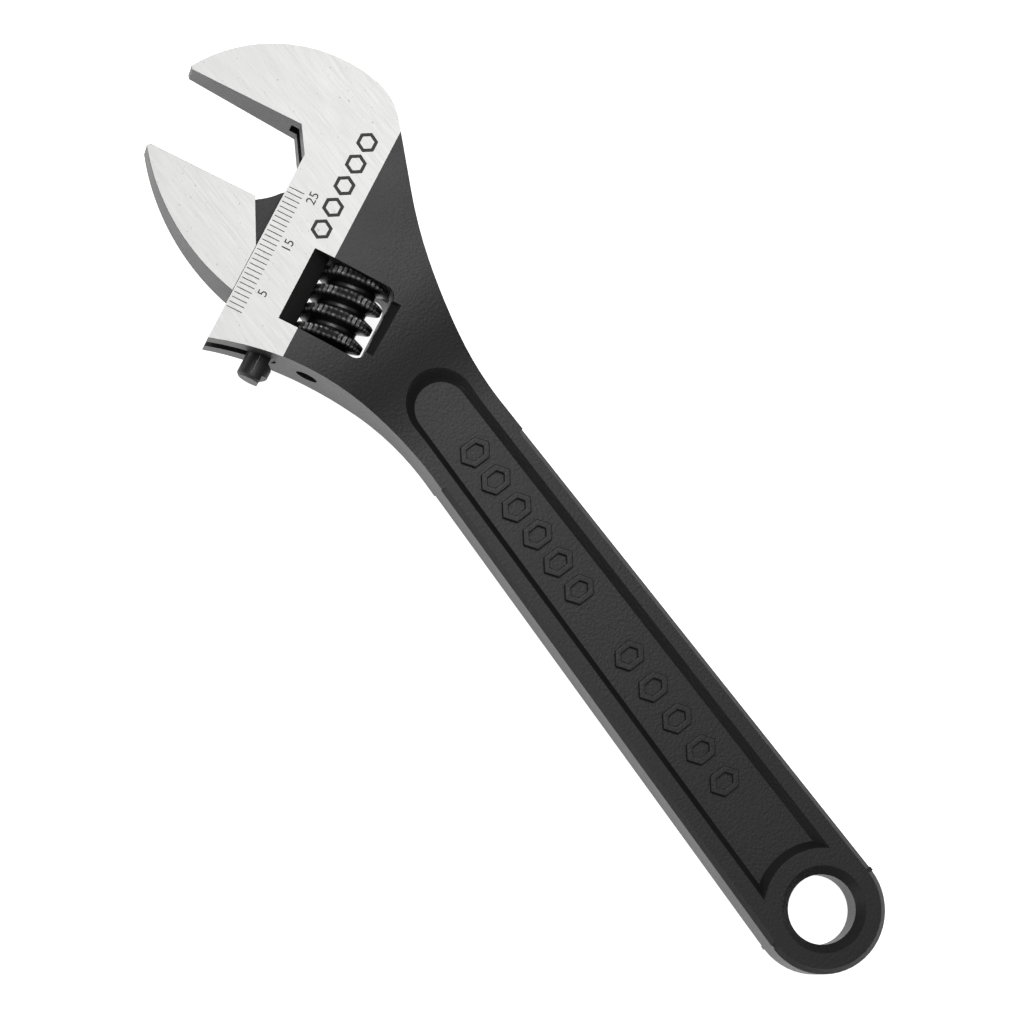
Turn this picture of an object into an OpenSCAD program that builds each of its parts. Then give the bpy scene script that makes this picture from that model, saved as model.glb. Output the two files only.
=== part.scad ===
// Adjustable wrench, 200 mm class, jaws drawn 16 mm open.
// Origin: centre of the hang hole, middle of the thickness.
// +X runs up the handle, +Y to the sliding jaw's side, +Z out of the marked face.
// The jaw frame (u, v) is turned by jaw_angle: u points out of the jaws and
// v is the direction in which the sliding jaw opens.

/* [Handle] */
// Outer radius of the round tail
tail_r = 11.8; // [9:0.1:15]
// Half width of the handle where the neck begins
grip_w = 9.4; // [6:0.1:12]
// Distance from the hang hole to the start of the neck
grip_l = 107; // [90:0.5:115]
// Half thickness of the handle rim
grip_h = 4.4; // [3.5:0.1:5]
// Bevel on the outer edges of the handle
grip_bevel = 0.9; // [0.3:0.1:1.4]
// Radius of the hang hole
hang_r = 6.4; // [4:0.1:8]
// Bevel at both ends of the hang hole
hang_bevel = 1.6; // [0.2:0.1:2]

/* [Handle panel] */
// Depth of the sunk panel on each face
panel_d = 1.8; // [0.5:0.1:2.5]
// Horizontal run of the panel's sloped wall
panel_run = 1.4; // [0.4:0.1:2]
// Half width of the panel at the hang hole end
panel_w_tail = 8.0; // [5:0.1:9]
// Half width of the panel at the neck end
panel_w_neck = 6.4; // [4:0.1:8]
// Centre of the rounded panel end near the neck
panel_end = 115; // [100:0.5:118]
// Radius of the boss left around the hang hole
boss_r = 11.2; // [9.5:0.1:11.5]

/* [Neck] */
// Radius of the long hollow on the fixed jaw's side
neck_lo_r = 84; // [60:1:120]
// Radius of the hollow on the sliding jaw's side
neck_hi_r = 62.4; // [45:0.2:90]
// Where the fixed jaw's side hollow ends
neck_lo_end = 150; // [140:0.5:155]
// Where the thickness starts to grow
ramp_x0 = 110; // [100:1:115]
// Where the thickness is full
ramp_x1 = 138; // [130:1:140]

/* [Head] */
// Angle of the jaws to the handle
jaw_angle = 25.5; // [15:0.5:30]
// Half thickness at the edge of the ground faces
head_h = 7.8; // [6:0.1:8.5]
// Half thickness at the jaw tips
tip_h = 3.6; // [2.5:0.1:5]
// Distance u of the edge of the ground faces
border_u = 134; // [130:0.5:136]
// Distance u of the sliding face
front_u = 147.5; // [145:0.1:150]
// Distance u of the jaw tips
tip_u = 173.6; // [168:0.1:180]
// Radius of the outer curve of the fixed jaw
crown_r = 28.1; // [24:0.1:34]
// Radius that blends the crown into the neck
crown_blend = 12; // [6:0.5:16]
// Position v of the fixed jaw's gripping face
fixed_v = -83.6; // [-90:0.1:-80]
// Position v of the lower end of the sliding face
heel_v = -39.1; // [-42:0.1:-36]

/* [Sliding jaw] */
// Opening between the jaws as drawn
opening = 16; // [0:0.5:25]
// Smallest opening
opening_min = 0.05; // [0:0.05:1]
// Largest opening
opening_max = 25; // [20:0.5:28]
// Distance u of the inner corner of the sliding jaw
jaw_root_u = 151.9; // [150:0.1:154]
// Radius of the sliding jaw's back
jaw_back_r = 44; // [38:0.5:60]
// Thickness of the web behind the sliding jaw
web_t = 4.2; // [3:0.1:5]
// Radius of the toothed rod
rod_r = 2.75; // [2:0.05:3.2]
// Free length of rod below the sliding jaw
rod_tail = 12.3; // [8:0.1:14]
// Depth of the rack teeth
tooth_d = 1.1; // [0.8:0.05:1.4]

/* [Worm] */
// Travel of the jaw for one turn of the worm
lead = 4; // [3:0.1:5]
// Radius over the worm thread
worm_r = 6.85; // [6:0.05:7.2]
// Radius at the thread root
worm_root_r = 4.6; // [4:0.05:5.2]
// Width of the thread at its crest
crest_w = 1.25; // [0.8:0.05:1.6]
// Width of the thread at its root
root_w = 3.3; // [2.5:0.05:3.5]
// Distance u of the worm axis
worm_u = 128.35; // [126:0.05:130]
// Radius of the plain part of the worm pin
pin_r = 1.7; // [1.2:0.05:2]
// Radius of the screwed end of the worm pin
screw_r = 2.1; // [1.8:0.05:2.4]

/* [Fits] */
// Radial clearance of the sliding and turning fits
fit = 0.05; // [0.02:0.01:0.1]
// Play between a worm thread flank and a rack tooth
backlash = 0.25; // [0.15:0.01:0.35]
// End play of the worm in its window
end_play = 0.15; // [0.05:0.01:0.3]

/* [Hidden] */
$fn = 96;
// small allowance so that cuts pass fully through
eps = 0.01;
// longer than any piece, for cuts and stock
far = 60;
cj = cos(jaw_angle);
sj = sin(jaw_angle);
function uv(u, v) = [u * cj - v * sj, u * sj + v * cj];
function dot2(a, b) = a[0] * b[0] + a[1] * b[1];

// handle sides fall in towards the neck by this angle
side_a = atan((tail_r - grip_w) / grip_l);
function half_w(x) = tail_r - (tail_r - grip_w) * x / grip_l;
// top and bottom starts of the neck hollows
lo_x = 109;
hi_x = 105.4;
lo_s = [lo_x, -half_w(lo_x)];
hi_s = [hi_x, half_w(hi_x)];
// the hollows bite a little into the straight sides, so that they cross them cleanly
bite = 0.01;
lo_c = lo_s + (neck_lo_r - bite) * [sin(side_a), -cos(side_a)];
hi_c = hi_s + (neck_hi_r - bite) * [sin(side_a), cos(side_a)];
// end of the lower hollow and the straight run beyond it
lo_a = asin((neck_lo_end - lo_c[0]) / neck_lo_r);
lo_e = lo_c + neck_lo_r * [sin(lo_a), cos(lo_a)];
lo_dir = [cos(lo_a), -sin(lo_a)];
lo_nrm = [sin(lo_a), cos(lo_a)];
// crown circle of the fixed jaw, through the tip
crown_v = -70;
crown_u = tip_u - sqrt(crown_r * crown_r - (fixed_v - crown_v) * (fixed_v - crown_v));
crown_c = uv(crown_u, crown_v);
blend_off = dot2(crown_c - lo_e, lo_nrm) - crown_blend;
blend_d = crown_r - crown_blend;
blend_lat = sqrt(blend_d * blend_d - blend_off * blend_off);
blend_c = crown_c - blend_off * lo_nrm + blend_lat * lo_dir;
blend_t0 = blend_c - crown_blend * lo_nrm;
blend_t1 = crown_c + (blend_c - crown_c) * crown_r / blend_d;
// throat between the fixed jaw and the sliding face
throat_u = 150.6;
throat_v = -78.7;
tip_cut = 1.1;
// how far the head's plan reaches into the fixed jaw, so that the two overlap
root_in = 3.5;
// ramp of the thickness: two equal arcs
ramp_w = (ramp_x1 - ramp_x0) / 2;
ramp_rise = (head_h - grip_h) / 2;
ramp_r = (ramp_w * ramp_w + ramp_rise * ramp_rise) / (2 * ramp_rise);
ramp_m = ramp_x0 + ramp_w;
// ground faces: half thickness falls by this much per mm of u
wedge = (head_h - tip_h) / (tip_u - border_u);
stock_h = 12;

// worm window
win_u0 = 121;
win_u1 = 134.7;
win_v0 = -63.9;
win_v1 = -49.2;
win_round = 2;
relief_r = worm_r + 0.2;
// sliding jaw, drawn position
jaw_v = fixed_v + opening;
back_u = 138.07;
back_v = jaw_v - 25.33;
web_top = jaw_v - 4.2;
web_low = jaw_v + 17.4;
rod_u = worm_u + 6.15 + rod_r;
rod_low = web_low + rod_tail;
rod_bevel = 0.5;
// deepest point reached by the web when the jaws are shut
slot_top = fixed_v + opening_min - 4.8;
// worm
worm_l = win_v1 - win_v0 - 2 * end_play;
worm_c = (win_v0 + win_v1) / 2;
thread_v = -58.4;
// run of the thread's flank per mm of depth
flank = (root_w - crest_w) / 2 / (worm_r - worm_root_r);
// slices of the worm in one turn
seg = 22;
pin_top = win_v0 - 3.5;
pin_low = -44.8;
// spring in the lower end of the worm
cup_r = 3.1;
cup_d = 4.6;
coil_r = 2.4;
wire_r = 0.34;

// --- helpers ---------------------------------------------------------------
module in_jaw_frame() {
    rotate([0, 0, jaw_angle])
        children();
}

module along_v(u, v0, v1, r) {
    translate([u, v0, 0])
        rotate([-90, 0, 0])
            cylinder(r = r, h = v1 - v0);
}

module both_faces() {
    children();
    mirror([0, 0, 1])
        children();
}

// stock whose faces are the two ground planes, in the jaw frame
module ground_stock() {
    u_thick = border_u - (stock_h - head_h) / wedge;
    end_h = head_h - wedge * far;
    rotate([90, 0, 0])
        linear_extrude(height = 6 * far, center = true)
            polygon([[-far, -stock_h], [u_thick, -stock_h], [border_u + far, -end_h],
                [border_u + far, end_h], [u_thick, stock_h], [-far, stock_h]]);
}

// --- body ------------------------------------------------------------------
module crown_plan() {
    away = 2 * crown_r;
    tip_dir = [cos(jaw_angle - 20), sin(jaw_angle - 20)];
    intersection() {
        translate(crown_c)
            circle(r = crown_r);
        polygon([crown_c, crown_c + (blend_t1 - crown_c) * 2,
            crown_c + away * [0.9, -1.2], crown_c + away * tip_dir]);
        in_jaw_frame()
            polygon([[crown_u - far, fixed_v - far], [crown_u + far, fixed_v - far],
                [tip_u + 1, fixed_v - tip_cut - 1], [tip_u - tip_cut * 0.7, fixed_v],
                [crown_u - far, fixed_v]]);
    }
    intersection() {
        translate(blend_c)
            circle(r = crown_blend);
        polygon([blend_c, blend_c + (blend_t0 - blend_c) * 2, blend_c + (blend_t1 - blend_c) * 2]);
    }
}

module body_plan() {
    circle(r = tail_r);
    polygon([[tail_r * sin(side_a), tail_r * cos(side_a)],
        [tail_r * sin(side_a), -tail_r * cos(side_a)], lo_s, hi_s]);
    crown_plan();
    difference() {
        polygon([hi_s, [lo_x - 6, 0], lo_s, lo_e, blend_t0, blend_c, uv(throat_u - root_in, fixed_v - root_in),
            uv(throat_u, fixed_v), uv(front_u, throat_v), uv(front_u, heel_v)]);
        translate(lo_c)
            circle(r = neck_lo_r, $fn = 180);
        translate(hi_c)
            circle(r = neck_hi_r, $fn = 180);
        // the space between the jaws
        in_jaw_frame()
            polygon([[throat_u, fixed_v], [tip_u + far, fixed_v], [tip_u + far, throat_v + 20],
                [front_u, throat_v + 20], [front_u, throat_v]]);
    }
}

// stock to take off one face so that the thickness falls from head to handle
module thinning() {
    rotate([90, 0, 0])
        linear_extrude(height = far, center = true)
            difference() {
                union() {
                    polygon([[-far / 2, grip_h], [ramp_x0, grip_h], [ramp_m, grip_h + ramp_rise],
                        [ramp_x1, head_h], [4 * far, head_h], [4 * far, 2 * stock_h], [-far / 2, 2 * stock_h]]);
                    intersection() {
                        translate([ramp_x0, grip_h + ramp_r])
                            circle(r = ramp_r, $fn = 180);
                        translate([ramp_x0, grip_h - 1])
                            square([ramp_w, ramp_rise + 2]);
                    }
                }
                translate([ramp_x1, head_h - ramp_r])
                    circle(r = ramp_r, $fn = 180);
            }
}

// one side wall of the panel, sloping; the other is its mirror image
module panel_side() {
    lean = atan((panel_w_tail - panel_w_neck) / panel_end);
    top = 3;
    rise = panel_run * top / panel_d;
    translate([0, panel_w_tail, grip_h])
        rotate([0, 0, -lean])
            rotate([90, 0, 90])
                linear_extrude(height = panel_end + 1)
                    polygon([[rise, top], [-panel_run, -panel_d], [-far / 2, -panel_d], [-far / 2, top]]);
}

module panel_cut() {
    top = 3;
    rise = panel_run * top / panel_d;
    difference() {
        union() {
            intersection() {
                panel_side();
                mirror([0, 1, 0])
                    panel_side();
                translate([0, -far / 2, 0])
                    cube([panel_end, far, far]);
            }
            translate([panel_end, 0, grip_h - panel_d])
                cylinder(r1 = panel_w_neck - panel_run, r2 = panel_w_neck + rise, h = panel_d + top, $fn = 64);
        }
        translate([0, 0, grip_h - panel_d - eps])
            cylinder(r1 = boss_r + panel_run, r2 = boss_r - rise, h = panel_d + top + eps);
    }
}

// bevel stock removed along one straight edge of the handle
module side_bevel() {
    translate([tail_r * sin(side_a), tail_r * cos(side_a), grip_h])
        rotate([0, 0, -side_a])
            rotate([90, 0, 90])
                translate([0, 0, 0.5])
                    linear_extrude(height = hi_x - 3)
                        polygon([[-grip_bevel, 0], [-grip_bevel, 2], [2, 2], [2, -grip_bevel], [0, -grip_bevel]]);
}

// the same bevel round the tail, which ends just short of the straight bevels
module tail_bevel() {
    low = grip_h - grip_bevel - 0.06;
    difference() {
        translate([-far / 2, -far / 2, low])
            cube([far / 2, far, 3]);
        translate([0, 0, low - 1])
            cylinder(r1 = tail_r + 1, r2 = tail_r - 3, h = 4);
    }
}

module window_plan() {
    translate([win_u0 + win_round, win_v0])
        square([win_u1 - win_u0 - win_round, win_v1 - win_v0]);
    translate([win_u0, win_v0 + win_round])
        square([win_round + 1, win_v1 - win_v0 - 2 * win_round]);
    for (v = [win_v0 + win_round, win_v1 - win_round])
        translate([win_u0 + win_round, v])
            circle(r = win_round);
}

// slopes that open the window towards each face
module window_slopes() {
    translate([0, win_v1, 0])
        rotate([90, 0, 0])
            linear_extrude(height = win_v1 - win_v0)
                polygon([[win_u1 - 1, 4.3], [win_u1, 4.3], [win_u1 + 4.5, 8.6], [win_u1 + 4.5, 10],
                    [win_u1 - 1, 10]]);
    translate([0, win_v1 - win_round, 0])
        rotate([90, 0, 0])
            linear_extrude(height = win_v1 - win_v0 - 2 * win_round)
                polygon([[win_u0 + 1, 5.8], [win_u0, 5.8], [win_u0 - 2.6, 8.6], [win_u0 - 2.6, 10],
                    [win_u0 + 1, 10]]);
}

module web_slot() {
    slot_h = web_t + 2 * fit;
    notch_u = jaw_root_u + 0.3;
    translate([0, 0, -slot_h / 2])
        linear_extrude(height = slot_h)
            polygon([[rod_u, slot_top], [front_u + 0.7, slot_top], [notch_u, fixed_v - 0.4],
                [notch_u, heel_v + 5], [rod_u, heel_v + 5]]);
}

module body() {
    color([0.2, 0.2, 0.2])
        difference() {
            intersection() {
                translate([0, 0, -stock_h])
                    linear_extrude(height = 2 * stock_h)
                        body_plan();
                in_jaw_frame()
                    ground_stock();
            }
            both_faces()
                thinning();
            cylinder(r = hang_r, h = 3 * grip_h, center = true);
            both_faces() {
                translate([0, 0, grip_h - hang_bevel])
                    cylinder(r1 = hang_r, r2 = hang_r + hang_bevel + 1, h = hang_bevel + 1);
                panel_cut();
                side_bevel();
                mirror([0, 1, 0])
                    side_bevel();
                tail_bevel();
            }
            in_jaw_frame() {
                translate([0, 0, -stock_h])
                    linear_extrude(height = 2 * stock_h)
                        window_plan();
                both_faces()
                    window_slopes();
                along_v(worm_u, win_v0, win_v1, relief_r);
                along_v(worm_u, pin_top - 0.2, win_v0 + 1, pin_r + 0.02);
                along_v(worm_u, win_v1 - 1, heel_v + 5, screw_r + 0.02);
                along_v(rod_u, slot_top, heel_v + 5, rod_r + fit);
                web_slot();
            }
        }
}

// --- sliding jaw -----------------------------------------------------------
module jaw_plan() {
    jaw_u = front_u + fit;
    intersection() {
        translate([back_u, back_v])
            circle(r = jaw_back_r, $fn = 180);
        polygon([[jaw_u, jaw_v + 8.2], [jaw_root_u, jaw_v], [tip_u - 0.5, jaw_v],
            [tip_u + 1, jaw_v + 2], [tip_u + 1, jaw_v + 24], [jaw_u, jaw_v + 24]]);
    }
}

module web_plan() {
    difference() {
        polygon([[rod_u, web_top], [front_u, web_top], [jaw_root_u, jaw_v], [jaw_root_u + 3, jaw_v + 4],
            [front_u + 2, web_low - 1], [front_u, web_low], [rod_u, web_low]]);
        translate([front_u + 10.9, jaw_v - 11.25])
            circle(r = 12.8);
    }
}

// one groove of the rack, leaning with the worm's thread
module rack_groove(v) {
    lean = atan(lead / (2 * PI * worm_r));
    tip_w = crest_w + 2 * flank * (worm_r - 6.15) + 2 * backlash;
    root = tip_w - 2 * flank * tooth_d;
    out = 0.5;
    translate([rod_u - rod_r, v, 0])
        rotate([lean, 0, 0])
            linear_extrude(height = 4 * rod_r, center = true)
                polygon([[-out, -tip_w / 2 - flank * out], [tooth_d, -root / 2],
                    [tooth_d, root / 2], [-out, tip_w / 2 + flank * out]]);
}

module movable_jaw() {
    first = ceil((web_top - thread_v) / lead);
    last = floor((rod_low - thread_v) / lead);
    color([0.75, 0.75, 0.74])
        in_jaw_frame() {
            intersection() {
                translate([0, 0, -stock_h])
                    linear_extrude(height = 2 * stock_h)
                        jaw_plan();
                ground_stock();
            }
            translate([0, 0, -web_t / 2])
                linear_extrude(height = web_t)
                    web_plan();
            difference() {
                union() {
                    along_v(rod_u, web_top, rod_low - rod_bevel, rod_r);
                    translate([rod_u, rod_low - rod_bevel, 0])
                        rotate([-90, 0, 0])
                            cylinder(r1 = rod_r, r2 = rod_r - rod_bevel, h = rod_bevel);
                }
                for (i = [first : last])
                    rack_groove(thread_v + i * lead);
            }
        }
}

// --- worm ------------------------------------------------------------------
// Outline of the worm across its axis: one turn of the thread, seen end on.
// Angles are taken from the middle of the crest.
module worm_outline() {
    crest_a = 180 * crest_w / lead;
    root_a = 180 * root_w / lead;
    arc = [for (i = [-4 : 4]) [worm_r, crest_a * i / 4]];
    down = [for (i = [1 : 5]) [worm_r + (worm_root_r - worm_r) * i / 6,
        crest_a + (root_a - crest_a) * i / 6]];
    low = [for (i = [0 : 5]) [worm_root_r, root_a + (360 - 2 * root_a) * i / 5]];
    up = [for (i = [5 : -1 : 1]) [worm_r + (worm_root_r - worm_r) * i / 6,
        -crest_a - (root_a - crest_a) * i / 6]];
    polygon([for (p = concat(arc, down, low, up)) [p[0] * cos(p[1]), p[0] * sin(p[1])]]);
}

// The worm's own Z runs along v. The thread rises as the angle grows and
// its crest stands at thread_v on the side of the rack.
module worm() {
    low_a = 360 * (-worm_l / 2 - (thread_v - worm_c)) / lead;
    color([0.1, 0.1, 0.1])
        in_jaw_frame()
            translate([worm_u, worm_c, 0])
                rotate([-90, 0, 0])
                    difference() {
                        translate([0, 0, -worm_l / 2])
                            linear_extrude(height = worm_l, twist = -360 * worm_l / lead,
                                slices = ceil(seg * worm_l / lead), $fn = 0)
                                rotate([0, 0, low_a])
                                    worm_outline();
                        cylinder(r = pin_r + fit, h = 2 * worm_l, center = true);
                        translate([0, 0, worm_l / 2 - cup_d])
                            cylinder(r = cup_r, h = cup_d + 1);
                    }
}

// --- pin and spring --------------------------------------------------------
module worm_pin() {
    cut = 0.8;
    color([0.3, 0.3, 0.3])
        in_jaw_frame()
            difference() {
                union() {
                    along_v(worm_u, pin_top, win_v1, pin_r);
                    along_v(worm_u, win_v1 + 0.1, pin_low, screw_r);
                    along_v(worm_u, win_v1 - 0.1, win_v1 + 0.2, pin_r);
                }
                translate([worm_u - far / 2, pin_low - 1, -cut / 2])
                    cube([far, 2, cut]);
            }
}

// A coil with ground ends: its cross-section is the wire cut across the axis.
module worm_spring() {
    gap = 0.03;
    turns = 4;
    free = cup_d + end_play - 2 * gap;
    pitch = (free - 2 * wire_r) / (turns - 1);
    n = 8;
    reach = 360 * wire_r / pitch;
    side = [for (i = [-n : n])
        let (a = reach * i / n, w = wire_r * sqrt(max(0, 1 - i * i / n / n)))
        [a, w]];
    outer = [for (p = side) [coil_r + p[1], p[0]]];
    inner = [for (i = [2 * n - 1 : -1 : 1]) [coil_r - side[i][1], side[i][0]]];
    color([0.6, 0.6, 0.6])
        in_jaw_frame()
            translate([worm_u, worm_c + worm_l / 2 - cup_d + gap, 0])
                rotate([-90, 0, 0])
                    linear_extrude(height = free, twist = -360 * free / pitch,
                        slices = ceil(20 * free / pitch), $fn = 0)
                        polygon([for (p = concat(outer, inner)) [p[0] * cos(p[1]), p[0] * sin(p[1])]]);
}

body();
movable_jaw();
worm();
worm_pin();
worm_spring();
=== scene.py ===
"""Adjustable wrench: a forged black body, a ground sliding jaw, a knurled worm, its pin and spring.

The frame holds the sizes. Each operator makes one piece, or one set of like pieces, around it.
"""

from math import atan, atan2, cos, hypot, pi, radians, sin

import bpy
from mathutils import Matrix, Vector


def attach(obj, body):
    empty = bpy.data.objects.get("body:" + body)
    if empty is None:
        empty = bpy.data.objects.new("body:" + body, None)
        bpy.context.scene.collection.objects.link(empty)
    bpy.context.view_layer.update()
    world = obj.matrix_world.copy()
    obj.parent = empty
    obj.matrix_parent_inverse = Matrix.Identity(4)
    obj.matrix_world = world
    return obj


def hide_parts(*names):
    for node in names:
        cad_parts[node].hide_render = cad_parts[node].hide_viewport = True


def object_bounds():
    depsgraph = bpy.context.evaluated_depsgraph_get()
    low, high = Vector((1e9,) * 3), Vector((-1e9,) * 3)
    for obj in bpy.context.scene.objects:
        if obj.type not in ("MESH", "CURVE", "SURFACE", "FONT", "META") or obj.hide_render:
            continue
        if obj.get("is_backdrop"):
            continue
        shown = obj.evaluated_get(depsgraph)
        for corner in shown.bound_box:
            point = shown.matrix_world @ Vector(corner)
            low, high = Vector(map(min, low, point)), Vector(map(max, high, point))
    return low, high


bl_info = {
    "name": "Adjustable wrench",
    "version": (1, 0, 0),
    "blender": (4, 5, 0),
    "location": "3D View > Sidebar > Wrench",
    "description": "Builds a black forged adjustable wrench with ground jaws",
    "category": "Add Mesh",
}

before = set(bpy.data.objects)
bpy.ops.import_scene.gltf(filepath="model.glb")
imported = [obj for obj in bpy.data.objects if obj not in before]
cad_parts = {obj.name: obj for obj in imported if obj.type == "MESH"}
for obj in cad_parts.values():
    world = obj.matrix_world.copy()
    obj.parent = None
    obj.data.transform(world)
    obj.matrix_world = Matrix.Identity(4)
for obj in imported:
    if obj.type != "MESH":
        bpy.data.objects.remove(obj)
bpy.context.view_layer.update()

MM = 0.001
MERGE = 1e-6

# The plane of the jaws, as the frame has it: u points out of the jaws, v along the sliding face.
JAW_ANGLE = radians(25.5)
BORDER_U = 134.0
HEAD_H = 7.8
# The ground faces fall from half thickness 7.8 at u = 134 to 3.6 at the tips, u = 173.6.
GROUND_FALL = (HEAD_H - 3.6) / (173.6 - BORDER_U)
PANEL_FLOOR = 2.6
WORM_U = 128.35
WORM_MID = -56.55
WORM_LENGTH = 14.4
THREAD_V = -58.4
LEAD = 4.0


def jaw_frame():
    """The matrix from the jaw frame (u, v, z) to the part's frame."""
    return Matrix.Rotation(JAW_ANGLE, 4, "Z")


def ground_frame():
    """The matrix that lays x along u and y along v on the upper ground face, from its border."""
    tilt = Matrix.Rotation(atan(GROUND_FALL), 4, "Y")
    place = Matrix.Translation((BORDER_U * MM, 0, HEAD_H * MM))
    return jaw_frame() @ place @ tilt


# --- shading -----------------------------------------------------------------


class Value:
    """A number that varies over a surface. Arithmetic on it adds Math nodes."""

    def __init__(self, tree, socket):
        self.tree = tree
        self.socket = socket

    def maths(self, operation, *terms):
        node = self.tree.nodes.new("ShaderNodeMath")
        node.operation = operation
        for slot, term in zip(node.inputs, terms):
            if isinstance(term, Value):
                self.tree.links.new(term.socket, slot)
            else:
                slot.default_value = term
        return Value(self.tree, node.outputs[0])

    def __add__(self, other):
        return self.maths("ADD", self, other)

    __radd__ = __add__

    def __sub__(self, other):
        return self.maths("SUBTRACT", self, other)

    def __rsub__(self, other):
        return self.maths("SUBTRACT", other, self)

    def __mul__(self, other):
        return self.maths("MULTIPLY", self, other)

    __rmul__ = __mul__

    def above(self, low, high):
        """0 under low, 1 over high and a soft step between."""
        node = self.tree.nodes.new("ShaderNodeMapRange")
        node.interpolation_type = "SMOOTHSTEP"
        self.tree.links.new(self.socket, node.inputs["Value"])
        node.inputs["From Min"].default_value = low
        node.inputs["From Max"].default_value = high
        return Value(self.tree, node.outputs["Result"])


class Finish:
    """A node material with one Principled shader, and helpers to feed it."""

    def __init__(self, name, **constants):
        self.material = bpy.data.materials.new(name)
        self.material.use_nodes = True
        self.tree = self.material.node_tree
        self.tree.nodes.clear()
        self.shader = self.add("ShaderNodeBsdfPrincipled")
        output = self.add("ShaderNodeOutputMaterial")
        self.tree.links.new(self.shader.outputs["BSDF"], output.inputs["Surface"])
        for socket, constant in constants.items():
            self.shader.inputs[socket.replace("_", " ")].default_value = constant
        self.place = self.add("ShaderNodeTexCoord").outputs["Object"]

    def add(self, kind, settings=(), **sockets):
        """Adds a node: its settings first, then a value or a link for each socket."""
        node = self.tree.nodes.new(kind)
        for name, setting in dict(settings).items():
            setattr(node, name, setting)
        for name, source in sockets.items():
            self.feed(node.inputs[name.replace("_", " ")], source)
        return node

    def feed(self, socket, source):
        if isinstance(source, Value):
            source = source.socket
        if isinstance(source, bpy.types.NodeSocket):
            self.tree.links.new(source, socket)
        else:
            socket.default_value = source

    def noise(self, size, detail=2.0, stretch=(1, 1, 1)):
        """Noise whose features are about size millimetres across."""
        mapping = self.add("ShaderNodeMapping", Vector=self.place, Scale=stretch)
        node = self.add(
            "ShaderNodeTexNoise",
            Vector=mapping.outputs[0],
            Scale=1 / (size * MM),
            Detail=detail,
        )
        return Value(self.tree, node.outputs["Fac"])

    def blend(self, share, first, second):
        """A colour between first and second, by share."""
        node = self.add("ShaderNodeMix", {"data_type": "RGBA"})
        self.feed(node.inputs[0], share)
        self.feed(node.inputs[6], first)
        self.feed(node.inputs[7], second)
        return node.outputs[2]

    def colour(self, source):
        self.feed(self.shader.inputs["Base Color"], source)

    def roughness(self, source):
        self.feed(self.shader.inputs["Roughness"], source)

    def relief(self, height, depth):
        """Bumps depth millimetres deep where height is 1."""
        bump = self.add(
            "ShaderNodeBump", Height=height, Distance=depth * MM, Strength=1.0
        )
        self.tree.links.new(bump.outputs[0], self.shader.inputs["Normal"])


def tone(colour, factor=1.0):
    return (colour[0] * factor, colour[1] * factor, colour[2] * factor, 1.0)


def forged_black(colour):
    """Black oxide over a blasted forging: fine orange peel, slightly glossy on its high spots."""
    made = Finish("forged_black", Specular_IOR_Level=0.5)
    grain = made.noise(0.55, 3.0)
    fine = made.noise(0.22, 2.0)
    cloud = made.noise(14, 3.0)
    made.colour(made.blend(cloud, tone(colour, 0.7), tone(colour, 1.5)))
    made.roughness(0.36 + cloud * 0.1 + fine * 0.08)
    made.relief(grain * 0.7 + fine * 0.3, 0.09)
    return made.material


def ground_satin(colour):
    """Ground steel: almost white, with faint grinding lines and a few small specks."""
    made = Finish("ground_satin", Metallic=1.0)
    lines = made.noise(0.9, 3.0, stretch=(0.12, 3.0, 1.0))
    cloud = made.noise(9, 2.0)
    specks = made.noise(0.5, 1.0).above(0.735, 0.76)
    clean = made.blend(lines * 0.5 + cloud * 0.5, tone(colour, 0.93), tone(colour, 1.04))
    made.colour(made.blend(specks * 0.6, clean, tone(colour, 0.35)))
    made.roughness(0.42 + lines * 0.1)
    made.relief(lines, 0.006)
    return made.material


def worm_black(colour, knurl_glint):
    """Glossy black on the thread, with bright steel painted on the crest edges of the knurl as a
    painted glint.
    """
    made = Finish("worm_gloss", Specular_IOR_Level=0.6)
    # Painted glint: the knurl's crest edges get bright steel colour and full metal, standing in for
    # the light that catches them.
    glint_edges = made.add("ShaderNodeAttribute", {"attribute_name": "knurl_edge"})
    glinting = Value(made.tree, glint_edges.outputs["Fac"]) * made.noise(0.8).above(0.3, 0.6)
    made.colour(made.blend(glinting, tone(colour), tone(knurl_glint)))
    made.feed(made.shader.inputs["Metallic"], glinting)
    made.roughness(0.24 + made.noise(0.6) * 0.14)
    made.relief(made.noise(0.3), 0.02)
    return made.material


def turned_steel(name, colour, metallic):
    """Turned steel with fine tool lines and a slight film of oil."""
    made = Finish(name, Metallic=metallic)
    film = made.noise(1.2, 3.0)
    made.colour(made.blend(film, tone(colour, 0.75), tone(colour, 1.2)))
    made.roughness(0.28 + film * 0.2)
    made.relief(made.noise(0.12), 0.008)
    return made.material


def ink_grey(colour):
    """The matt grey of an etched mark."""
    made = Finish("etched_grey")
    made.colour(made.blend(made.noise(0.3, 3.0), tone(colour, 0.7), tone(colour, 1.4)))
    made.roughness(0.6 + made.noise(0.2) * 0.2)
    return made.material


# --- modelling helpers ---------------------------------------------------------


def deselect():
    """Leaves nothing selected, in object mode."""
    if bpy.context.object and bpy.context.object.mode != "OBJECT":
        bpy.ops.object.mode_set(mode="OBJECT")
    bpy.ops.object.select_all(action="DESELECT")


def choose(piece):
    deselect()
    piece.select_set(True)
    bpy.context.view_layer.objects.active = piece


def apply_modifier(piece, kind, **settings):
    choose(piece)
    modifier = piece.modifiers.new(kind.lower(), kind)
    for name, setting in settings.items():
        setattr(modifier, name, setting)
    bpy.ops.object.modifier_apply(modifier=modifier.name)


def settle(piece, matrix=None):
    """Puts the piece's place in its mesh, with its object at the origin."""
    choose(piece)
    if matrix is not None:
        piece.matrix_world = matrix @ piece.matrix_world
        bpy.context.view_layer.update()
    bpy.ops.object.transform_apply(location=True, rotation=True, scale=True)
    return piece


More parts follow.
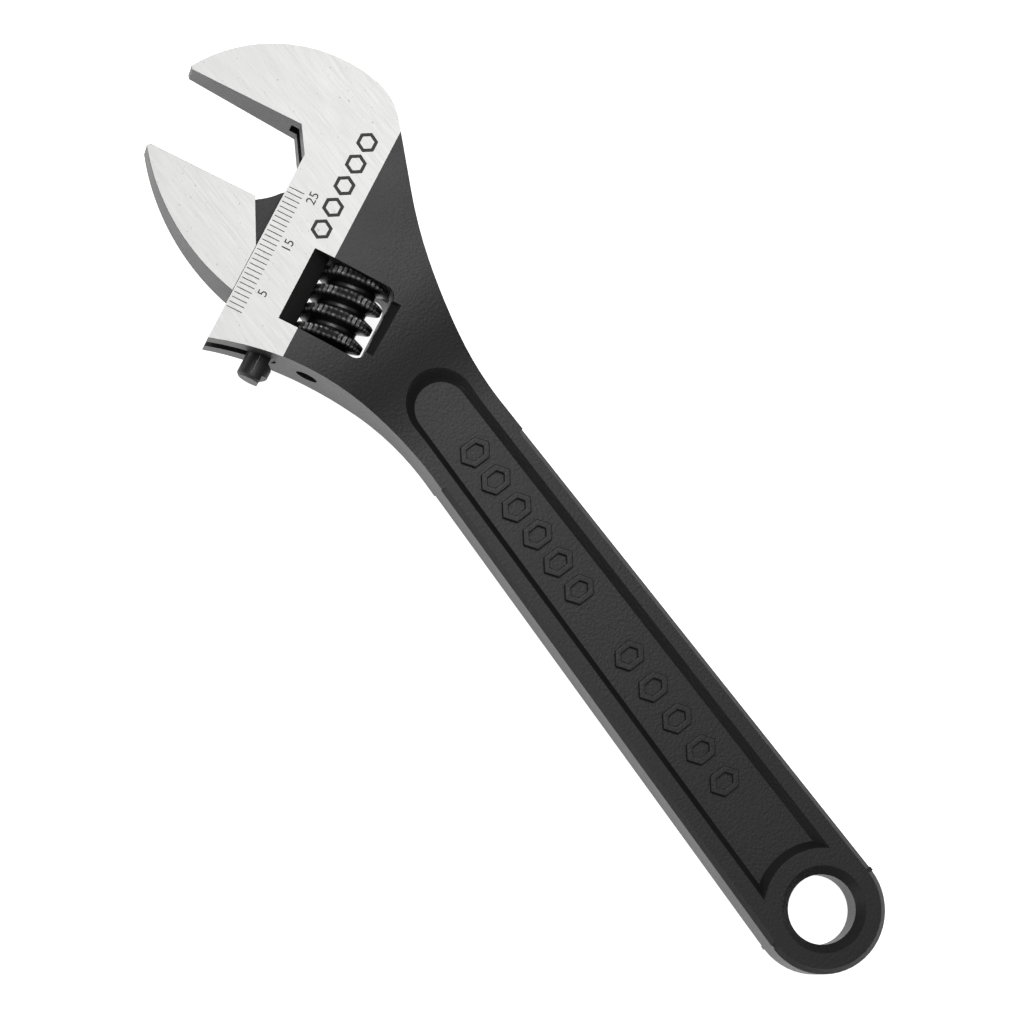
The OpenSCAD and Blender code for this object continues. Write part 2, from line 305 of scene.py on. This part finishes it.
def smooth(piece, angle):
    choose(piece)
    bpy.ops.object.shade_smooth_by_angle(angle=radians(angle))
    apply_modifier(piece, "WEIGHTED_NORMAL", keep_sharp=True, weight=90)


def soft_edged_copy(node, name, rounding):
    """A copy of a CAD node's mesh, merged to flat faces, with its sharp edges rounded."""
    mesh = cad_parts[node].data.copy()
    mesh.materials.clear()
    piece = bpy.data.objects.new(name, mesh)
    bpy.context.scene.collection.objects.link(piece)
    choose(piece)
    bpy.ops.mesh.customdata_custom_splitnormals_clear()
    bpy.ops.object.mode_set(mode="EDIT")
    bpy.ops.mesh.select_all(action="SELECT")
    bpy.ops.mesh.remove_doubles(threshold=MERGE)
    bpy.ops.mesh.dissolve_limited(angle_limit=radians(0.4))
    bpy.ops.object.mode_set(mode="OBJECT")
    apply_modifier(
        piece,
        "BEVEL",
        width=rounding,
        segments=2,
        limit_method="ANGLE",
        angle_limit=radians(34),
    )
    return piece


def paint_ground_faces(piece, black, ground):
    """Gives the two ground planes their satin steel and all else the black."""
    piece.data.materials.append(black)
    piece.data.materials.append(ground)
    turn = jaw_frame().to_3x3()
    tilt = atan(GROUND_FALL)
    for side in (1, -1):
        normal = turn @ Vector((sin(tilt), 0, side * cos(tilt)))
        for face in piece.data.polygons:
            if face.normal.dot(normal) > cos(radians(1.2)):
                face.material_index = 1


def merge_pieces(pieces, name):
    """Joins pieces that make one set into one mesh."""
    deselect()
    for piece in pieces:
        piece.select_set(True)
    bpy.context.view_layer.objects.active = pieces[0]
    if len(pieces) > 1:
        bpy.ops.object.join()
    pieces[0].name = name
    return pieces[0]


def use_only(piece, material):
    piece.data.materials.clear()
    piece.data.materials.append(material)


def hexagon_ring(centre, across, stroke, squeeze, height, rounding):
    """A raised hexagonal ring that stands on the plane z = 0 around centre."""
    deselect()
    bpy.ops.mesh.primitive_circle_add(
        vertices=6, radius=across / 2, fill_type="NGON", location=(*centre, 0)
    )
    ring = bpy.context.object
    bpy.ops.object.mode_set(mode="EDIT")
    bpy.ops.transform.resize(value=(squeeze, 1, 1), center_override=(*centre, 0))
    bpy.ops.mesh.inset(thickness=stroke, depth=0)
    bpy.ops.mesh.delete(type="FACE")
    bpy.ops.mesh.select_all(action="SELECT")
    bpy.ops.mesh.extrude_region_move(TRANSFORM_OT_translate={"value": (0, 0, height)})
    bpy.ops.mesh.select_all(action="SELECT")
    bpy.ops.mesh.normals_make_consistent(inside=False)
    bpy.ops.object.mode_set(mode="OBJECT")
    if rounding:
        apply_modifier(
            ring,
            "BEVEL",
            width=rounding,
            segments=3,
            limit_method="ANGLE",
            angle_limit=radians(40),
        )
    return ring


# --- settings ------------------------------------------------------------------


class WrenchSizes(bpy.types.PropertyGroup):
    edge_rounding: bpy.props.FloatProperty(
        name="Edge rounding",
        description="Width of the rounding on the forging's sharp edges",
        default=0.22 * MM,
        unit="LENGTH",
        subtype="DISTANCE",
        precision=5,
    )
    tick_pitch: bpy.props.FloatProperty(
        name="Scale pitch",
        description="Distance between two lines of the jaw scale",
        default=1 * MM,
        unit="LENGTH",
        subtype="DISTANCE",
        precision=5,
    )
    tick_width: bpy.props.FloatProperty(
        name="Scale line width",
        description="Width of a line of the jaw scale",
        default=0.16 * MM,
        unit="LENGTH",
        subtype="DISTANCE",
        precision=5,
    )
    knurl_depth: bpy.props.FloatProperty(
        name="Knurl depth",
        description="Depth of the notches on the worm's crest",
        default=0.3 * MM,
        unit="LENGTH",
        subtype="DISTANCE",
        precision=5,
    )
    knurl_count: bpy.props.IntProperty(
        name="Knurl notches",
        description="Notches round one turn of the worm",
        default=40,
        min=12,
        max=80,
    )
    panel_mark_height: bpy.props.FloatProperty(
        name="Panel mark height",
        description="How far the forged marks stand out of the sunk panel",
        default=0.7 * MM,
        unit="LENGTH",
        subtype="DISTANCE",
        precision=5,
    )


class WrenchColours(bpy.types.PropertyGroup):
    forging: bpy.props.FloatVectorProperty(
        name="Forging",
        description="Black oxide of the body",
        default=(0.007, 0.007, 0.0068),
        subtype="COLOR",
        size=3,
        min=0,
        max=1,
    )
    ground: bpy.props.FloatVectorProperty(
        name="Ground steel",
        description="Satin steel of the jaws' flat faces",
        default=(0.47, 0.47, 0.465),
        subtype="COLOR",
        size=3,
        min=0,
        max=1,
    )
    worm: bpy.props.FloatVectorProperty(
        name="Worm",
        description="Glossy black of the knurled worm",
        default=(0.006, 0.006, 0.006),
        subtype="COLOR",
        size=3,
        min=0,
        max=1,
    )
    # Painted glint: the bright steel that is painted on the knurl's crest edges in place of the light
    # they catch.
    knurl_glint: bpy.props.FloatVectorProperty(
        name="Knurl glint",
        description="Bright steel where the knurl is rubbed",
        default=(0.55, 0.55, 0.54),
        subtype="COLOR",
        size=3,
        min=0,
        max=1,
    )
    pin: bpy.props.FloatVectorProperty(
        name="Pin",
        description="Blackened steel of the worm's pin",
        default=(0.05, 0.05, 0.05),
        subtype="COLOR",
        size=3,
        min=0,
        max=1,
    )
    spring: bpy.props.FloatVectorProperty(
        name="Spring",
        description="Bright wire of the spring",
        default=(0.5, 0.5, 0.5),
        subtype="COLOR",
        size=3,
        min=0,
        max=1,
    )
    etching: bpy.props.FloatVectorProperty(
        name="Etched marks",
        description="Grey of the scale and the etched marks",
        default=(0.045, 0.045, 0.047),
        subtype="COLOR",
        size=3,
        min=0,
        max=1,
    )


# --- pieces --------------------------------------------------------------------


class WRENCH_OT_body(bpy.types.Operator):
    """Make the forged body, with its two ground faces"""

    bl_idname = "wrench.body"
    bl_label = "Body"

    def execute(self, context):
        scene = context.scene
        body = soft_edged_copy("body", "forged_body", scene.wrench_sizes.edge_rounding)
        paint_ground_faces(
            body,
            forged_black(scene.wrench_colours.forging),
            ground_satin(scene.wrench_colours.ground),
        )
        smooth(body, 50)
        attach(body, "frame")
        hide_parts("body")
        return {"FINISHED"}


class WRENCH_OT_jaw(bpy.types.Operator):
    """Make the sliding jaw with its black web and toothed rod"""

    bl_idname = "wrench.jaw"
    bl_label = "Sliding jaw"

    def execute(self, context):
        jaw = soft_edged_copy(
            "movable_jaw", "sliding_jaw", context.scene.wrench_sizes.edge_rounding * 0.5
        )
        paint_ground_faces(
            jaw,
            bpy.data.materials["forged_black"],
            bpy.data.materials["ground_satin"],
        )
        smooth(jaw, 50)
        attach(jaw, "jaw")
        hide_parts("movable_jaw")
        return {"FINISHED"}


class WRENCH_OT_worm(bpy.types.Operator):
    """Make the worm: a tube drawn out ring by ring, cut to its thread and knurled"""

    bl_idname = "wrench.worm"
    bl_label = "Worm"

    blank_r = 8.0
    crest_r = 6.85
    root_r = 4.6
    crest_half = 0.625
    root_half = 1.65
    bore_r = 1.75
    cup_r = 3.1
    cup_depth = 4.6
    rings = 120

    def reach(self, angle, along, knurl_depth, knurl_count):
        """Radius of the skin, and how much painted glint its knurl edge gets, at an angle and a place
        along the axis.
        """
        turn = angle / (2 * pi) * LEAD
        off = (along - THREAD_V + WORM_MID - turn + LEAD / 2) % LEAD - LEAD / 2
        fall = (abs(off) - self.crest_half) / (self.root_half - self.crest_half)
        fall = min(max(fall, 0.0), 1.0)
        eased = fall * fall * (3 - 2 * fall) * 0.35 + fall * 0.65
        notch = 0.5 - 0.5 * cos(angle * knurl_count)
        crest = max(0.0, 1 - fall * 2.2)
        radius = self.crest_r + (self.root_r - self.crest_r) * eased
        edge = crest * max(0.0, 1 - abs(abs(off) - self.crest_half) / 0.35)
        return radius - crest * notch * knurl_depth / MM, edge * (1 - notch)

    def execute(self, context):
        sizes = context.scene.wrench_sizes
        colours = context.scene.wrench_colours
        around = 4 * sizes.knurl_count
        low, high = -WORM_LENGTH / 2, WORM_LENGTH / 2
        deselect()
        bpy.ops.mesh.primitive_circle_add(
            vertices=around, radius=self.blank_r * MM, location=(0, 0, low * MM)
        )
        worm = bpy.context.object
        worm.name = "knurled_worm"
        bpy.ops.object.transform_apply(location=True)
        bpy.ops.object.mode_set(mode="EDIT")
        bpy.ops.mesh.select_all(action="SELECT")
        step = WORM_LENGTH / self.rings * MM
        for _ in range(self.rings):
            bpy.ops.mesh.extrude_region_move(
                TRANSFORM_OT_translate={"value": (0, 0, step)}
            )
        inside = (
            (self.blank_r, self.cup_r, 0.0),
            (self.cup_r, self.cup_r, -self.cup_depth),
            (self.cup_r, self.bore_r, 0.0),
            (self.bore_r, self.bore_r, self.cup_depth - WORM_LENGTH),
            (self.bore_r, self.blank_r, 0.0),
        )
        for was, now, down in inside:
            bpy.ops.mesh.extrude_region_move(
                TRANSFORM_OT_translate={"value": (0, 0, down * MM)}
            )
            if was != now:
                share = now / was
                bpy.ops.transform.resize(
                    value=(share, share, 1), center_override=(0, 0, 0)
                )
        bpy.ops.mesh.select_all(action="SELECT")
        bpy.ops.mesh.remove_doubles(threshold=2e-6)
        bpy.ops.mesh.normals_make_consistent(inside=False)
        bpy.ops.object.mode_set(mode="OBJECT")
        # The mask marks the knurl's crest edges, where the worm's material paints a glint of bright
        # steel.
        mask = worm.data.attributes.new("knurl_edge", "FLOAT", "POINT")
        for vertex in worm.data.vertices:
            x, y, z = vertex.co
            if hypot(x, y) < 0.9 * self.blank_r * MM:
                continue
            angle = atan2(y, x)
            radius, bright = self.reach(
                angle, z / MM, sizes.knurl_depth, sizes.knurl_count
            )
            vertex.co = (radius * MM * cos(angle), radius * MM * sin(angle), z)
            mask.data[vertex.index].value = bright
        along_v = Matrix.Rotation(radians(-90), 4, "X")
        place = Matrix.Translation((WORM_U * MM, WORM_MID * MM, 0))
        settle(worm, jaw_frame() @ place @ along_v)
        use_only(worm, worm_black(colours.worm, colours.knurl_glint))
        choose(worm)
        bpy.ops.object.shade_smooth_by_angle(angle=radians(55))
        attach(worm, "knurl")
        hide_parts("worm")
        return {"FINISHED"}


class WRENCH_OT_pin_and_spring(bpy.types.Operator):
    """Finish the worm's pin and its spring"""

    bl_idname = "wrench.pin_and_spring"
    bl_label = "Pin and spring"

    def execute(self, context):
        colours = context.scene.wrench_colours
        pin = soft_edged_copy("worm_pin", "slotted_pin", 0.1 * MM)
        use_only(pin, turned_steel("pin_steel", colours.pin, 0.6))
        smooth(pin, 40)
        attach(pin, "frame")
        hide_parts("worm_pin")
        wire = turned_steel("spring_wire", colours.spring, 1.0)
        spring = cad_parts["worm_spring"]
        for slot in spring.material_slots:
            slot.material = wire
        return {"FINISHED"}


class WRENCH_OT_scale(bpy.types.Operator):
    """Engrave the opening scale, its numbers and a row of plain hexagons"""

    bl_idname = "wrench.scale"
    bl_label = "Scale and etched marks"

    sunk = 0.05 * MM
    proud = 0.012 * MM
    first_v = -72
    last_v = -47
    line = 3.0
    line_end_u = 147.25
    numbers = {"25": -72.0, "15": -62.0, "5": -52.0}
    number_u = 142.5
    number_size = 2.5
    hexagon_u = 138.5
    hexagon_v = -67.6
    hexagon_pitch = -4.6
    hexagon_count = 5
    hexagon_across = 4.1
    hexagon_stroke = 0.62

    def execute(self, context):
        sizes = context.scene.wrench_sizes
        start = self.line_end_u - self.line / 2 - BORDER_U
        parts = []
        for v in range(self.first_v, self.last_v + 1):
            deselect()
            bpy.ops.mesh.primitive_plane_add(
                size=1, location=(start * MM, v * sizes.tick_pitch, -self.sunk)
            )
            mark = bpy.context.object
            mark.scale = (self.line * MM, sizes.tick_width, 1)
            bpy.ops.object.transform_apply(location=True, rotation=True, scale=True)
            bpy.ops.object.mode_set(mode="EDIT")
            bpy.ops.mesh.select_all(action="SELECT")
            bpy.ops.mesh.extrude_region_move(
                TRANSFORM_OT_translate={"value": (0, 0, self.sunk + self.proud)}
            )
            bpy.ops.mesh.select_all(action="SELECT")
            bpy.ops.mesh.normals_make_consistent(inside=False)
            bpy.ops.object.mode_set(mode="OBJECT")
            parts.append(mark)
        for text, v in self.numbers.items():
            deselect()
            bpy.ops.object.text_add(
                location=((self.number_u - BORDER_U) * MM, v * MM, 0),
                rotation=(0, 0, radians(-90)),
            )
            number = bpy.context.object
            number.data.body = text
            number.data.size = self.number_size * MM
            number.data.align_x = "CENTER"
            number.data.align_y = "CENTER"
            number.data.extrude = self.proud
            bpy.ops.object.convert(target="MESH")
            parts.append(settle(bpy.context.object))
        for index in range(self.hexagon_count):
            v = self.hexagon_v + index * self.hexagon_pitch
            ring = hexagon_ring(
                ((self.hexagon_u - BORDER_U) * MM, v * MM),
                self.hexagon_across * MM,
                self.hexagon_stroke * MM,
                1.0,
                self.sunk + self.proud,
                0,
            )
            ring.location.z = -self.sunk
            parts.append(settle(ring))
        marks = merge_pieces(parts, "scale_marks")
        settle(marks, ground_frame())
        use_only(marks, ink_grey(context.scene.wrench_colours.etching))
        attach(marks, "frame")
        return {"FINISHED"}


class WRENCH_OT_panel_marks(bpy.types.Operator):
    """Raise two rows of plain hexagonal marks in the sunk panel"""

    bl_idname = "wrench.panel_marks"
    bl_label = "Panel marks"

    # the first mark's x, the number of marks and their pitch, for each row
    rows = ((29.5, 5, 7.2), (73.5, 6, 6.3))
    across = 6.6
    stroke = 1.15
    squeeze = 0.82
    rounding = 0.2

    def execute(self, context):
        height = context.scene.wrench_sizes.panel_mark_height
        sunk = 0.1 * MM
        parts = []
        for first, count, pitch in self.rows:
            for index in range(count):
                centre = ((first + index * pitch) * MM, 0)
                ring = hexagon_ring(
                    centre,
                    self.across * MM,
                    self.stroke * MM,
                    self.squeeze,
                    height + sunk,
                    self.rounding * MM,
                )
                ring.location.z = PANEL_FLOOR * MM - sunk
                parts.append(settle(ring))
        marks = merge_pieces(parts, "panel_marks")
        use_only(marks, bpy.data.materials["forged_black"])
        smooth(marks, 50)
        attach(marks, "frame")
        return {"FINISHED"}


class WRENCH_OT_stage(bpy.types.Operator):
    """Set the white table, which glows and lights the wrench from below, the soft light and the
    camera
    """

    bl_idname = "wrench.stage"
    bl_label = "Table, light and camera"

    def execute(self, context):
        scene = context.scene
        deselect()
        bpy.ops.mesh.primitive_plane_add(size=4, location=(0.1, 0, 0))
        table = bpy.context.object
        table.name = "glowing_table"
        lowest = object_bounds()[0].z
        table.location.z = lowest - 0.02 * MM
        settle(table)
        white = Finish("glowing_table", Roughness=0.9)
        paper = (1.0, 1.0, 1.0)
        white.colour(white.blend(white.noise(300), tone(paper, 0.9), tone(paper, 0.94)))
        # The table's glow is painted light: its emission lights the wrench from below and washes out
        # the shadows the wrench casts on it.
        white.feed(white.shader.inputs["Emission Color"], (1, 1, 1, 1))
        white.feed(white.shader.inputs["Emission Strength"], 0.9)
        use_only(table, white.material)
        table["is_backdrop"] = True

        world = bpy.data.worlds.new("soft_room")
        world.use_nodes = True
        room = world.node_tree.nodes["Background"]
        room.inputs["Color"].default_value = (1, 1, 1, 1)
        room.inputs["Strength"].default_value = 0.3
        scene.world = world
        for name, place, size, power in (
            ("overhead_panel", (0.34, -0.16, 0.75), 0.5, 2.6),
            ("side_panel", (0.2, 0.9, 0.5), 0.5, 1.2),
        ):
            bpy.ops.object.light_add(type="AREA", location=place)
            lamp = bpy.context.object
            lamp.name = name
            lamp.data.shape = "DISK"
            lamp.data.size = size
            lamp.data.energy = power
            aim = Vector((0.12, 0, 0)) - Vector(place)
            lamp.rotation_euler = aim.to_track_quat("-Z", "Y").to_euler()

        bpy.ops.object.camera_add(location=(0.0922, 0.1419, 0.6323))
        camera = bpy.context.object
        camera.name = "camera"
        lean = Vector((0, 0.9759, -0.2181))
        across = Vector((1, 0, 0))
        right = (-0.6046 * across - 0.7965 * lean).normalized()
        up = (0.7965 * across - 0.6046 * lean).normalized()
        back = right.cross(up)
        camera.rotation_euler = Matrix((right, up, back)).transposed().to_euler()
        camera.data.lens = 124.0
        camera.data.sensor_width = 36.0
        scene.camera = camera
        scene.view_settings.view_transform = "Standard"
        return {"FINISHED"}


PIECES = (
    WRENCH_OT_body,
    WRENCH_OT_jaw,
    WRENCH_OT_worm,
    WRENCH_OT_pin_and_spring,
    WRENCH_OT_scale,
    WRENCH_OT_panel_marks,
    WRENCH_OT_stage,
)


class WRENCH_PT_sidebar(bpy.types.Panel):
    """Sizes, colours and the pieces, in the order in which they are made"""

    bl_idname = "WRENCH_PT_sidebar"
    bl_label = "Adjustable wrench"
    bl_space_type = "VIEW_3D"
    bl_region_type = "UI"
    bl_category = "Wrench"

    def draw(self, context):
        for group in (context.scene.wrench_sizes, context.scene.wrench_colours):
            column = self.layout.column()
            for name in group.__annotations__:
                column.prop(group, name)
        for piece in PIECES:
            self.layout.operator(piece.bl_idname)


CLASSES = (WrenchSizes, WrenchColours, *PIECES, WRENCH_PT_sidebar)


def register():
    for made in CLASSES:
        bpy.utils.register_class(made)
    bpy.types.Scene.wrench_sizes = bpy.props.PointerProperty(type=WrenchSizes)
    bpy.types.Scene.wrench_colours = bpy.props.PointerProperty(type=WrenchColours)


def unregister():
    del bpy.types.Scene.wrench_colours
    del bpy.types.Scene.wrench_sizes
    for made in reversed(CLASSES):
        bpy.utils.unregister_class(made)


def main():
    """Makes every piece in order."""
    register()
    for piece in PIECES:
        group, name = piece.bl_idname.split(".")
        getattr(getattr(bpy.ops, group), name)()
    deselect()


if __name__ == "__main__":
    main()
